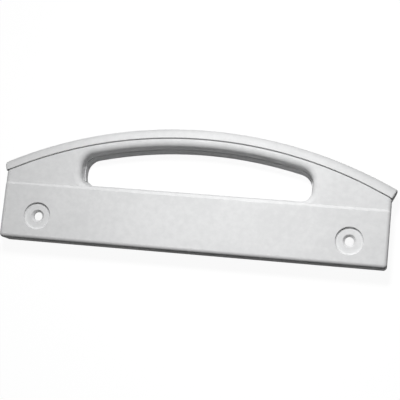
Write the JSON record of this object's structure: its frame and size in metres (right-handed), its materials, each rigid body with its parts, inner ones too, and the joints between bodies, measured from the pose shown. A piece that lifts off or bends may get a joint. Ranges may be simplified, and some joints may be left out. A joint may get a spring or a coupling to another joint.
{
  "type": "fridge door handle",
  "caption": "Straight screw-on base with round screw seats, an arched hand grip over a long hand hole, and a clip-on cover along the arch.",
  "frame": {"origin": "midway between the two screw holes, on the mounting plane", "axes": "+X along the handle, +Y from the straight base to the arched grip, +Z out of the front face"},
  "size_m": [0.3174, 0.0996, 0.02],
  "materials": {
    "body_plastic": "satin white",
    "cover_plastic": "satin white"
  },
  "bodies": {
    "root": {"handle_body": "body_plastic", "arch_cover": "cover_plastic"}
  },
  "joints": []
}
